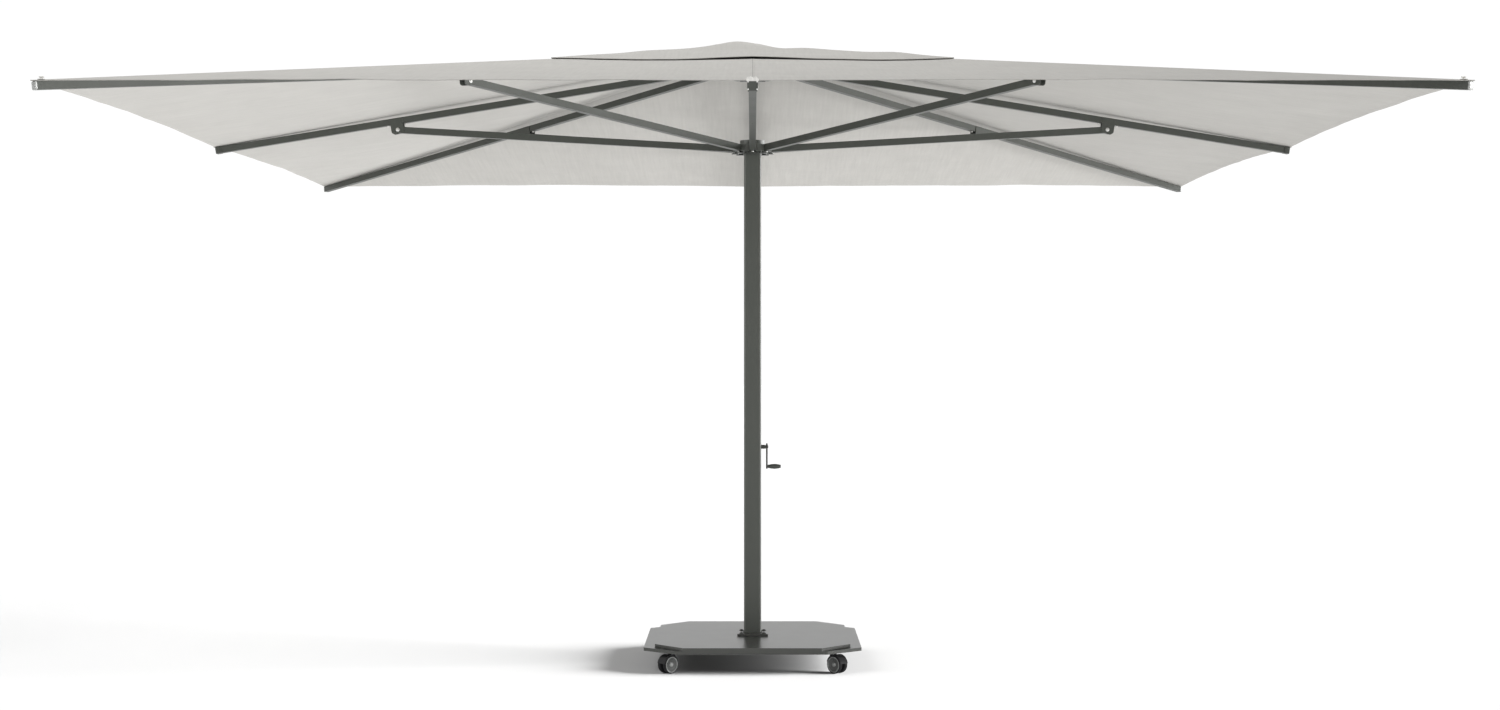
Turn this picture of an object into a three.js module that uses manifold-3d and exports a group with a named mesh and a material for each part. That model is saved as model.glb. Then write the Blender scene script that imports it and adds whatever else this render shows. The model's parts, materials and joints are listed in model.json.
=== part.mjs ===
// Square telescopic patio umbrella, 5 m by 5 m, on a stacked steel plate base with castors.
// Millimetres, +Z up. The origin is on the floor under the mast, and the canopy sides run along X and Y.
// Eight ribs carry the canopy. Each rib is pushed up by a strut from the hub on the mast, and hangs
// from a crown on a two-stage inner mast that slides up out of the mast as the umbrella closes.
import * as THREE from 'three';
import { mergeVertices } from 'three/addons/utils/BufferGeometryUtils.js';
import Module from 'manifold-3d';

const wasm = await Module();
wasm.setup();

// ---------- driving dimensions ----------
const GAP = 0.3; // between pieces that touch

const CANOPY_HALF = 2500; // half the side of the canopy
const ROOF_TOP = 2835; // height that the four canopy planes would reach over the mast
const ROOF_SLOPE = 0.1788;
const CLOTH = 1.5; // cloth thickness
const OPENING_HALF = 420; // half the square opening under the vent cap
const SEAM_GAP = 0.5; // from a panel's edge to the line between two panels

const VENT_HALF = 855;
const VENT_EDGE_Z = 2691;
const VENT_TOP_Z = 2872;

const TUBE = 30; // square tube of ribs and struts
const WALL = 2;
const RIB_ROOT_R = 72; // where a rib's tube begins
const RIB_AXIS_Z = 2775; // where the ribs' centre lines would meet over the mast
const RIB_TIP_Z = 2369;
const SIDE_TIP_R = 2492; // ribs to the middles of the sides
const CORNER_TIP_R = 3519;
const CORNER_RATIO = Math.SQRT2;

const PIVOT_R = 82; // hub and crown pivots, from the mast's axis
const HUB_PIVOT_Z = 2378;
const CROWN_PIVOT_Z = 2721.6;
const STRUT_PIN_R = 1648; // where a strut meets its rib
const SIDE_PIN_Z = 2466.4;
const CORNER_PIN_Z = 2549.8;
const PIN = 5; // pin radius
const PIN_HOLE = 5.6;

const MAST = 80; // square mast
const MAST_WALL = 3;
const MAST_ROUND = 12;
const MAST_TOP = 2361.7;
const SPIGOT = MAST - 2 * MAST_WALL - 2 * GAP; // blocks that plug the ends of the mast
const SPIGOT_LENGTH = 60;

const HUB = { low: 2362, shoulder: 2395, high: 2416, radius: 92, neck: 59, core: 62, bore: 19.3 };
const CROWN = { low: 2700, high: 2741, radius: 92, core: 60, bore: 15.3, slot: 13 };
const LOWER_STAGE = { outer: 18, inner: 15.5, low: 300, high: 2410 };
const UPPER_STAGE = { outer: 15, inner: 13, low: 950, high: 2735 };

const PLATE = 15; // base plate thickness
const BASE_UNDERSIDE = 91.5;
const BASE_TOP = BASE_UNDERSIDE + 2 * PLATE;
const FOOT = { half: 71, thick: 10, bolt: 52, hole: 6 };
const FOOT_TOP = BASE_TOP + FOOT.thick;

const CRANK_Z = 993;
const CRANK_RADIUS = 91;
const SHAFT = 5;
const ROPE = 2; // rope radius
const DRUM = { x: 27.5, barrel: 14, flange: 18 };
const SHEAVE = { x: 28, z: 2322, groove: 10, rim: 12, half: 5.5 };

const CASTOR_R = 506.6; // swivel axis, from the mast's axis along the diagonal
const CASTOR_TRAIL = 28;
const WHEEL = { radius: 40, inside: 8, outside: 26 };

// ---------- materials ----------
const finish = (color, roughness, metalness) => ({ color, roughness, metalness });
const FRAME = finish(0x54564f, 0.5, 0.4);
const CANVAS = finish(0xcbc8c2, 0.95, 0);
const BRIGHT = finish(0xb9bbba, 0.3, 0.9);
const PLATES = finish(0x9c9d99, 0.55, 0.5);
const BLACK = finish(0x1b1c1d, 0.6, 0);
const CORD = finish(0xd8d6cf, 0.9, 0);

// ---------- solids ----------
function solid(geometry) {
  const bare = geometry.clone();
  bare.deleteAttribute('normal');
  bare.deleteAttribute('uv');
  const merged = mergeVertices(bare, 1e-4);
  const vertProperties = new Float32Array(merged.attributes.position.array);
  const triVerts = new Uint32Array(merged.index.array);
  return new wasm.Manifold(new wasm.Mesh({ numProp: 3, vertProperties, triVerts }));
}

const join = (first, ...others) => others.reduce((sum, other) => sum.add(other), first);
const cut = (first, ...others) => others.reduce((rest, other) => rest.subtract(other), first);

function surface(manifold) {
  const { vertProperties, triVerts } = manifold.getMesh();
  const geometry = new THREE.BufferGeometry();
  geometry.setAttribute('position', new THREE.BufferAttribute(new Float32Array(vertProperties), 3));
  geometry.setIndex(new THREE.BufferAttribute(new Uint32Array(triVerts), 1));
  const faceted = geometry.toNonIndexed();
  faceted.computeVertexNormals();
  return faceted;
}

// a block between two opposite corners
function block([x0, y0, z0], [x1, y1, z1]) {
  const geometry = new THREE.BoxGeometry(x1 - x0, y1 - y0, z1 - z0);
  return solid(geometry.translate((x0 + x1) / 2, (y0 + y1) / 2, (z0 + z1) / 2));
}

// a round bar between two points
function rod(from, to, radius, sides = 10) {
  const start = new THREE.Vector3(...from);
  const way = new THREE.Vector3(...to).sub(start);
  const geometry = new THREE.CylinderGeometry(radius, radius, way.length(), sides);
  geometry.translate(0, way.length() / 2, 0);
  geometry.applyQuaternion(new THREE.Quaternion().setFromUnitVectors(
    new THREE.Vector3(0, 1, 0), way.clone().normalize()));
  return solid(geometry.translate(...from));
}

// an outline in plan, between two heights
function plate(outline, low, high, curveSegments = 2) {
  const options = { depth: high - low, bevelEnabled: false, curveSegments };
  return solid(new THREE.ExtrudeGeometry(outline, options).translate(0, 0, low));
}

// an outline seen from the side (x along, y up), between two values of y
function sidePlate(outline, left, right, curveSegments = 3) {
  const options = { depth: right - left, bevelEnabled: false, curveSegments };
  const geometry = new THREE.ExtrudeGeometry(outline, options).rotateX(Math.PI / 2);
  return solid(geometry.translate(0, right, 0));
}

// a profile of [radius, along] pairs turned about +Z, or about +X or +Y if asked
function turned(profile, axis = 'z', sides = 16) {
  const geometry = new THREE.LatheGeometry(profile.map(([r, along]) => new THREE.Vector2(r, along)), sides);
  if (axis === 'z') geometry.rotateX(Math.PI / 2);
  if (axis === 'x') geometry.rotateZ(-Math.PI / 2);
  return solid(geometry);
}

const polygon = (points) => new THREE.Shape(points.map(([x, y]) => new THREE.Vector2(x, y)));

function roundedSquare(half, radius) {
  const shape = new THREE.Shape();
  const inset = half - radius;
  [[1, 1], [-1, 1], [-1, -1], [1, -1]].forEach(([sx, sy], quarter) => {
    const start = (quarter * Math.PI) / 2;
    shape.absarc(sx * inset, sy * inset, radius, start, start + Math.PI / 2, false);
  });
  return shape;
}

// a bar seen from the side, with round ends about (x0, y0) and (x1, y1)
function stadium(x0, y0, x1, y1, radius) {
  const along = Math.atan2(y1 - y0, x1 - x0);
  const shape = new THREE.Shape();
  shape.absarc(x0, y0, radius, along + Math.PI / 2, along + 1.5 * Math.PI, false);
  shape.absarc(x1, y1, radius, along - Math.PI / 2, along + Math.PI / 2, false);
  return shape;
}

const spokes = (build) => [0, 1, 2, 3, 4, 5, 6, 7].map((step) => build(step * Math.PI / 4, step % 2 === 1));
const spun = (body, azimuth) => body.rotate([0, 0, THREE.MathUtils.radToDeg(azimuth)]);

// ---------- placing ----------
const umbrella = new THREE.Group();

function place(parent, name, shape, look, position = [0, 0, 0], rotation = [0, 0, 0]) {
  const mesh = new THREE.Mesh(shape, new THREE.MeshStandardMaterial(look));
  mesh.name = name;
  mesh.position.set(...position);
  mesh.rotation.set(...rotation);
  parent.add(mesh);
  return mesh;
}

// ---------- base ----------
// a rectangle with its four corners cut off, the cut given by where it starts on each side
function cutRectangle(halfX, halfY, cutX, cutY) {
  const corner = [[halfX, cutY], [cutX, halfY]];
  const mirrored = (sx, sy) => corner.map(([x, y]) => [sx * x, sy * y]);
  return polygon([
    ...mirrored(1, 1), ...mirrored(-1, 1).reverse(), ...mirrored(-1, -1), ...mirrored(1, -1).reverse(),
  ]);
}

const footCorners = [[1, 1], [-1, 1], [-1, -1], [1, -1]].map(([sx, sy]) => [sx * FOOT.bolt, sy * FOOT.bolt]);
const footHoles = (low, high) => footCorners.map(([x, y]) => rod([x, y, low], [x, y, high], FOOT.hole));

function buildBase() {
  const lower = plate(cutRectangle(490, 440, 334, 320), BASE_UNDERSIDE, BASE_UNDERSIDE + PLATE);
  place(umbrella, 'base_plate_lower', surface(lower), PLATES);

  const upper = plate(cutRectangle(440, 449, 308, 317), BASE_UNDERSIDE + PLATE + GAP, BASE_TOP);
  place(umbrella, 'base_plate_upper', surface(cut(upper, ...footHoles(BASE_TOP - 20, BASE_TOP + 1))), PLATES);

  const flange = plate(roundedSquare(FOOT.half, 8), BASE_TOP + GAP, FOOT_TOP);
  const plug = plate(roundedSquare(SPIGOT / 2, 8), FOOT_TOP - 1, FOOT_TOP + SPIGOT_LENGTH);
  const hollow = plate(roundedSquare(31, 6), FOOT_TOP, FOOT_TOP + SPIGOT_LENGTH + 1);
  const foot = cut(join(flange, plug), hollow, ...footHoles(BASE_TOP - 1, FOOT_TOP + 1));
  place(umbrella, 'mast_foot', surface(foot), FRAME);

  const shank = rod([0, 0, BASE_UNDERSIDE + PLATE + 2], [0, 0, FOOT_TOP + 2], 5);
  const head = rod([0, 0, FOOT_TOP + GAP], [0, 0, FOOT_TOP + 8], 10, 6);
  const bolt = surface(join(shank, head));
  footCorners.forEach(([x, y], i) => place(umbrella, `foot_bolt_${i + 1}`, bolt, BRIGHT, [x, y, 0]));
}

// ---------- mast ----------
function buildMast() {
  const outside = plate(roundedSquare(MAST / 2, MAST_ROUND), FOOT_TOP + GAP, MAST_TOP);
  const inside = plate(roundedSquare(MAST / 2 - MAST_WALL, MAST_ROUND - MAST_WALL), FOOT_TOP, MAST_TOP + 1);
  const shaftHole = rod([30, 0, CRANK_Z], [50, 0, CRANK_Z], SHAFT + 1);
  place(umbrella, 'mast_tube', surface(cut(outside, inside, shaftHole)), FRAME);

  const tube = ({ outer, inner, low, high }) => cut(
    rod([0, 0, low], [0, 0, high], outer, 20), rod([0, 0, low - 1], [0, 0, high + 1], inner, 20));
  place(umbrella, 'inner_mast_lower', surface(tube(LOWER_STAGE)), BRIGHT);
  place(umbrella, 'inner_mast_upper', surface(tube(UPPER_STAGE)), FRAME);
}

// the hub on the mast's top: a narrower neck over a drum with eight slots and a pin across each, and a
// pocket for the sheave
function buildHub() {
  const slot = TUBE + 0.8;
  const drum = join(
    rod([0, 0, HUB.low], [0, 0, HUB.shoulder], HUB.radius, 48),
    rod([0, 0, HUB.low], [0, 0, HUB.high], HUB.neck, 48));
  const plug = plate(roundedSquare(SPIGOT / 2, 8), MAST_TOP - SPIGOT_LENGTH, HUB.low + 1);
  const slots = spokes((azimuth) => spun(
    block([HUB.core, -slot / 2, HUB.low - 1], [HUB.radius + 9, slot / 2, HUB.shoulder + 1]), azimuth));
  const bore = rod([0, 0, MAST_TOP - SPIGOT_LENGTH - 1], [0, 0, HUB.high + 1], HUB.bore, 20);
  const pocket = block(
    [SHEAVE.x - SHEAVE.half - 0.6, -15.5, MAST_TOP - SPIGOT_LENGTH - 1],
    [SHEAVE.x + SHEAVE.half + 0.6, 15.5, SHEAVE.z + 18]);
  const pins = spokes((azimuth) => spun(
    rod([PIVOT_R, -slot / 2 - 6, HUB_PIVOT_Z], [PIVOT_R, slot / 2 + 6, HUB_PIVOT_Z], PIN), azimuth));
  const sheavePin = rod([SHEAVE.x - 7, 0, SHEAVE.z], [SHEAVE.x + 7, 0, SHEAVE.z], 3, 8);
  const hub = join(cut(join(drum, plug), ...slots, bore, pocket), ...pins, sheavePin);
  place(umbrella, 'strut_hub', surface(hub), FRAME);
}

// the crown on the upper stage: eight slots open outwards, with a pin across each corner rib's slot
function buildCrown() {
  const disc = rod([0, 0, CROWN.low], [0, 0, CROWN.high], CROWN.radius, 48);
  const slots = spokes((azimuth) => spun(
    block([CROWN.core, -CROWN.slot / 2, CROWN.low - 1], [CROWN.radius + 9, CROWN.slot / 2, CROWN.high + 1]),
    azimuth));
  const bore = rod([0, 0, CROWN.low - 1], [0, 0, UPPER_STAGE.high + GAP], CROWN.bore, 20);
  const reach = CROWN.slot / 2 + 5;
  const pin = rod([PIVOT_R, -reach, CROWN_PIVOT_Z], [PIVOT_R, reach, CROWN_PIVOT_Z], PIN);
  const pins = spokes((azimuth, corner) => (corner ? spun(pin, azimuth) : null)).filter((body) => body);
  place(umbrella, 'top_crown', surface(join(cut(disc, ...slots, bore), ...pins)), FRAME);

  const cap = turned([
    [0, CROWN.high + GAP], [12, CROWN.high + GAP], [12, 2818], [24, 2822], [80, 2822], [80, 2827],
    [14, 2830], [12, 2844], [7, 2852], [0, 2855],
  ]);
  place(umbrella, 'crown_cap', surface(cap), FRAME);
}

// ---------- winch ----------
function buildWinch() {
  const bossEnd = 62;
  const bossBore = SHAFT + 0.6;
  const boss = turned([
    [bossBore, MAST / 2 + GAP], [9.5, MAST / 2 + GAP], [9.5, bossEnd], [bossBore, bossEnd],
    [bossBore, MAST / 2 + GAP],
  ], 'x');
  place(umbrella, 'crank_boss', surface(boss), FRAME, [0, 0, CRANK_Z]);

  const armFace = 70;
  const bar = cut(
    sidePlate(stadium(0, 0, 0, -CRANK_RADIUS, 11), bossEnd + GAP, armFace),
    rod([0, bossEnd - 1, 0], [0, armFace + 1, 0], SHAFT + GAP));
  const gripPin = rod([0, armFace - 1, -CRANK_RADIUS], [0, 126, -CRANK_RADIUS], 4, 8);
  const arm = join(bar, gripPin).rotate([0, 0, -90]);
  place(umbrella, 'crank_arm', surface(arm), FRAME, [0, 0, CRANK_Z]);

  const gripBore = 4.4;
  const grip = turned([
    [gripBore, 70.5], [7, 70.5], [7.4, 77], [9.8, 87], [11.2, 98], [11.2, 103], [9.8, 114], [7.4, 124],
    [7, 130], [0, 131], [0, 127], [gripBore, 127], [gripBore, 70.5],
  ], 'x');
  place(umbrella, 'crank_grip', surface(grip), BLACK, [0, 0, CRANK_Z - CRANK_RADIUS]);

  const [inner, outer] = [DRUM.x - 7, DRUM.x + 7];
  const drum = turned([
    [0, inner], [DRUM.flange, inner], [DRUM.flange, inner + 2], [DRUM.barrel, inner + 2],
    [DRUM.barrel, outer - 2], [DRUM.flange, outer - 2], [DRUM.flange, outer], [SHAFT, outer],
    [SHAFT, armFace - 0.5], [0, armFace - 0.5],
  ], 'x');
  place(umbrella, 'rope_drum', surface(drum), BRIGHT, [0, 0, CRANK_Z]);

  const rope = rod(
    [DRUM.x, DRUM.barrel + ROPE + GAP, CRANK_Z], [SHEAVE.x, SHEAVE.groove + ROPE + GAP, SHEAVE.z], ROPE, 8);
  place(umbrella, 'lift_rope', surface(rope), CORD);

  const { groove, rim, half } = SHEAVE;
  const sheave = turned([
    [3.5, -half], [rim, -half], [rim, -half + 1.5], [groove, -2.5], [groove, 2.5], [rim, half - 1.5],
    [rim, half], [3.5, half], [3.5, -half],
  ], 'x');
  place(umbrella, 'rope_sheave', surface(sheave), BRIGHT, [SHEAVE.x, 0, SHEAVE.z]);
}

// ---------- struts, ribs and brackets ----------
const sideSpoke = { tip: SIDE_TIP_R, pinZ: SIDE_PIN_Z };
const cornerSpoke = { tip: CORNER_TIP_R, pinZ: CORNER_PIN_Z };
const slopeOf = (spoke) => (RIB_AXIS_Z - RIB_TIP_Z) / (spoke.tip + 8);

// along +X from the hub pivot to the pin in the rib, hollow between its solid ends
function strutShape(length) {
  const bar = sidePlate(stadium(0, 0, length, 0, TUBE / 2), -TUBE / 2, TUBE / 2);
  const bore = TUBE / 2 - WALL;
  const hollow = block([TUBE, -bore, -bore], [length - TUBE, bore, bore]);
  const drain = rod([length / 2, 0, -TUBE], [length / 2, 0, 0], 3, 6);
  const hole = (x) => rod([x, -TUBE, 0], [x, TUBE, 0], PIN_HOLE);
  return cut(bar, hollow, drain, hole(0), hole(length));
}

// along +X from the tube's root, with the tongue that drops to the crown pivot
function ribShape(length, pivotX, pivotZ) {
  const half = TUBE / 2;
  const bore = half - WALL;
  const tube = cut(
    block([0, -half, -half], [length, half, half]), block([-1, -bore, -bore], [length - WALL, bore, bore]));
  const round = 12;
  const tongue = sidePlate(polygon([
    [2, bore + 0.5], [2, -half], [pivotX - round, pivotZ], [pivotX + round, pivotZ], [58, -half],
    [58, bore + 0.5],
  ]), -6, 6);
  const end = rod([pivotX, -6, pivotZ], [pivotX, 6, pivotZ], round);
  return cut(join(tube, tongue, end), rod([pivotX, -7, pivotZ], [pivotX, 7, pivotZ], PIN_HOLE));
}

// two cheeks and a web about the strut's pin, with the rib's centre line `offset` above the pin
function bracketShape(offset) {
  const inner = TUBE / 2 + 0.4;
  const outer = inner + 3;
  const halfLength = 29.5;
  const bottom = -17;
  const top = offset + TUBE / 2;
  const corner = 10;
  const cheek = new THREE.Shape();
  cheek.moveTo(halfLength, top);
  cheek.lineTo(-halfLength, top);
  cheek.absarc(-halfLength + corner, bottom + corner, corner, Math.PI, 1.5 * Math.PI, false);
  cheek.absarc(halfLength - corner, bottom + corner, corner, -Math.PI / 2, 0, false);
  const webTop = offset - TUBE / 2 - GAP;
  const web = block([-halfLength, -inner - 1, webTop - 2.7], [halfLength, inner + 1, webTop]);
  const pin = rod([0, -outer, 0], [0, outer, 0], PIN);
  return join(sidePlate(cheek, inner, outer, 2), sidePlate(cheek, -outer, -inner, 2), web, pin);
}

function spokeShapes(spoke) {
  const slope = slopeOf(spoke);
  const tilt = Math.atan(slope);
  const run = STRUT_PIN_R - PIVOT_R;
  const rise = spoke.pinZ - HUB_PIVOT_Z;
  const rootZ = RIB_AXIS_Z - slope * RIB_ROOT_R;
  const [dx, dz] = [PIVOT_R - RIB_ROOT_R, CROWN_PIVOT_Z - rootZ];
  const pivotX = dx * Math.cos(tilt) - dz * Math.sin(tilt);
  const pivotZ = dx * Math.sin(tilt) + dz * Math.cos(tilt);
  const offset = (RIB_AXIS_Z - slope * STRUT_PIN_R - spoke.pinZ) * Math.cos(tilt);
  return {
    tilt,
    rootZ,
    pinZ: spoke.pinZ,
    strutAngle: Math.atan2(rise, run),
    strut: surface(strutShape(Math.hypot(run, rise))),
    rib: surface(ribShape((spoke.tip - RIB_ROOT_R) / Math.cos(tilt), pivotX, pivotZ)),
    bracket: surface(bracketShape(offset)),
  };
}

// ---------- canopy ----------
const roof = (x, y) => ROOF_TOP - ROOF_SLOPE * Math.max(Math.abs(x), Math.abs(y));
const vent = (x, y) => VENT_TOP_Z - (VENT_TOP_Z - VENT_EDGE_Z) * Math.max(Math.abs(x), Math.abs(y)) / VENT_HALF;

// a sheet over a flat outline in plan, with its top on the given height
function cloth(outline, height, azimuth = 0) {
  const geometry = new THREE.ExtrudeGeometry(polygon(outline), { depth: 1, bevelEnabled: false });
  const place = geometry.attributes.position;
  for (let i = 0; i < place.count; i += 1) {
    const point = new THREE.Vector3().fromBufferAttribute(place, i);
    const onTop = point.z > 0.5;
    const world = point.clone().applyAxisAngle(new THREE.Vector3(0, 0, 1), azimuth);
    place.setZ(i, height(world.x, world.y) - (onTop ? 0 : CLOTH));
  }
  return solid(geometry);
}

// the half panel on one side of its rib: x along the rib, y to its left (side 1) or right (side -1)
function halfPanel(corner, side) {
  const spread = Math.tan(Math.PI / 8);
  const away = SEAM_GAP / Math.cos(Math.PI / 8);
  const inner = OPENING_HALF;
  const outer = CANOPY_HALF;
  const stretch = corner ? CORNER_RATIO : 1;
  const edge = (x) => side * (x * spread - away);
  const points = [[inner * stretch, 0], [outer * stretch, 0], [outer, edge(outer)], [inner, edge(inner)]];
  return side > 0 ? points : points.reverse();
}

function buildCanopy(spoke, azimuth, corner, tag) {
  const reference = corner ? Math.PI / 4 : 0;
  const halves = [1, -1].map((side) => cloth(halfPanel(corner, side), roof, reference));
  place(spoke, `canopy_panel_${tag}`, surface(join(...halves)), CANVAS);
}

function buildVentCap() {
  const h = VENT_HALF;
  const quarters = [[[h, -h], [h, h]], [[h, h], [-h, h]], [[-h, h], [-h, -h]], [[-h, -h], [h, -h]]];
  const sheets = quarters.map(([a, b]) => cloth([[0, 0], a, b], vent));
  place(umbrella, 'vent_cap', surface(join(...sheets)), CANVAS);
}

// ---------- spokes ----------
function buildSpokes() {
  const shapes = { side: spokeShapes(sideSpoke), corner: spokeShapes(cornerSpoke) };
  const tags = ['right', 'back_right', 'back', 'back_left', 'left', 'front_left', 'front', 'front_right'];
  spokes((azimuth, corner) => {
    const tag = tags[Math.round(azimuth / (Math.PI / 4))];
    const { tilt, rootZ, pinZ, strutAngle, strut, rib, bracket } = corner ? shapes.corner : shapes.side;
    const spoke = new THREE.Group();
    spoke.rotation.z = azimuth;
    umbrella.add(spoke);
    place(spoke, `strut_${tag}`, strut, FRAME, [PIVOT_R, 0, HUB_PIVOT_Z], [0, -strutAngle, 0]);
    place(spoke, `rib_${tag}`, rib, FRAME, [RIB_ROOT_R, 0, rootZ], [0, tilt, 0]);
    place(spoke, `rib_bracket_${tag}`, bracket, FRAME, [STRUT_PIN_R, 0, pinZ], [0, tilt, 0]);
    buildCanopy(spoke, azimuth, corner, tag);
  });
}

// ---------- castors ----------
// built with the swivel axis on Z and the wheel trailing towards +X
function buildCastors() {
  const axleX = CASTOR_TRAIL;
  const axleZ = WHEEL.radius;
  const headTop = BASE_UNDERSIDE - GAP;
  const head = turned([[0, 82], [14, 82], [25, 86.5], [25, headTop], [0, headTop]], 'z');
  const web = sidePlate(polygon([
    [-12, 84], [-9, 60], [axleX - 12, axleZ - 8], [axleX + 12, axleZ - 8], [axleX + 14, axleZ + 6],
    [axleX + 24, 74], [20, 84],
  ]), -6, 6);
  const hoodShape = new THREE.Shape();
  const [from, to] = [THREE.MathUtils.degToRad(38), THREE.MathUtils.degToRad(158)];
  hoodShape.absarc(axleX, axleZ, WHEEL.radius + 5.5, from, to, false);
  hoodShape.absarc(axleX, axleZ, WHEEL.radius + 2.5, to, from, true);
  const hood = sidePlate(hoodShape, -WHEEL.outside, WHEEL.outside, 4);
  const axleHole = rod([axleX, -7, axleZ], [axleX, 7, axleZ], PIN_HOLE);
  const housing = surface(cut(join(head, web, hood), axleHole));

  const { radius, inside, outside } = WHEEL;
  const half = [[PIN, inside], [radius, inside], [radius, outside - 4], [radius - 4, outside], [0, outside]];
  const otherHalf = half.map(([r, y]) => [r, -y]).reverse();
  const wheel = surface(turned([...otherHalf, ...half], 'y', 24));

  spokes((azimuth, corner) => {
    if (!corner) return;
    const tag = { 1: 'back_right', 3: 'back_left', 5: 'front_left', 7: 'front_right' }[
      Math.round(azimuth / (Math.PI / 4))];
    const castor = new THREE.Group();
    castor.rotation.z = azimuth;
    umbrella.add(castor);
    place(castor, `castor_housing_${tag}`, housing, BLACK, [CASTOR_R, 0, 0]);
    place(castor, `castor_wheels_${tag}`, wheel, BLACK, [CASTOR_R + axleX, 0, axleZ]);
  });
}

buildBase();
buildMast();
buildHub();
buildCrown();
buildWinch();
buildSpokes();
buildVentCap();
buildCastors();

export default umbrella;
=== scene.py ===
import json
import math

import bmesh
import bpy
from mathutils import Matrix, Vector, noise

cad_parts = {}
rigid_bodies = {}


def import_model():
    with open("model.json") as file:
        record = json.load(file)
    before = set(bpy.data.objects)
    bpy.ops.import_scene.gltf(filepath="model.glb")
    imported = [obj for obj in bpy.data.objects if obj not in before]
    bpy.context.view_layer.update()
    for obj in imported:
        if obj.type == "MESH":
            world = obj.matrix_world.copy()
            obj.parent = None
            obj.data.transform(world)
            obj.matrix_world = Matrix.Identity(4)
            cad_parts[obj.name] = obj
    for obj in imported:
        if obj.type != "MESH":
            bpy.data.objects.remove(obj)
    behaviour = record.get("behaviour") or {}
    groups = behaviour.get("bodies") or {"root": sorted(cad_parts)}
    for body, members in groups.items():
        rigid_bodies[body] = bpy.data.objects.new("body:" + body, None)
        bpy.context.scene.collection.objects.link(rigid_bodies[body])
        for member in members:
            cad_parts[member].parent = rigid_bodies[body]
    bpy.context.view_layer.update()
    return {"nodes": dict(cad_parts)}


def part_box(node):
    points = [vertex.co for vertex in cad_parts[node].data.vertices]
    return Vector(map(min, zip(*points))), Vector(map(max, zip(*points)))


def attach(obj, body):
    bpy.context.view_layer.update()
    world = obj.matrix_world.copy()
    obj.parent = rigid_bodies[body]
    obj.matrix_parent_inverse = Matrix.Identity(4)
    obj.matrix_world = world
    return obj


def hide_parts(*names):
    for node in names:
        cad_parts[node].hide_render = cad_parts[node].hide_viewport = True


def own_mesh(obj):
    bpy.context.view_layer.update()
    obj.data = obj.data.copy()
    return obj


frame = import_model()
scene = bpy.context.scene

# Metres, +Z up, the front is -Y. Ribs are named by their azimuth, counted from +X towards +Y.
TAGS = ("right", "back_right", "back", "back_left", "left", "front_left", "front", "front_right")
CORNERS = ("back_right", "back_left", "front_left", "front_right")
AZIMUTH = {tag: index * math.pi / 4 for index, tag in enumerate(TAGS)}

# ---------- camera ----------
FRAME_WIDTH = 1500
FOCAL = 2098  # this and the shifts are in pixels of that width
SHIFT_X, SHIFT_Y = -2.6, -14
SENSOR = 36
camera_data = bpy.data.cameras.new("camera")
camera_data.sensor_width = SENSOR
camera_data.lens = SENSOR * FOCAL / FRAME_WIDTH
camera_data.shift_x = SHIFT_X / FRAME_WIDTH
camera_data.shift_y = SHIFT_Y / FRAME_WIDTH
camera = bpy.data.objects.new("camera", camera_data)
camera.location = (0, -9.76, 1.485)
camera.rotation_euler = (math.pi / 2, 0, 0)
scene.collection.objects.link(camera)
scene.camera = camera


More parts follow.
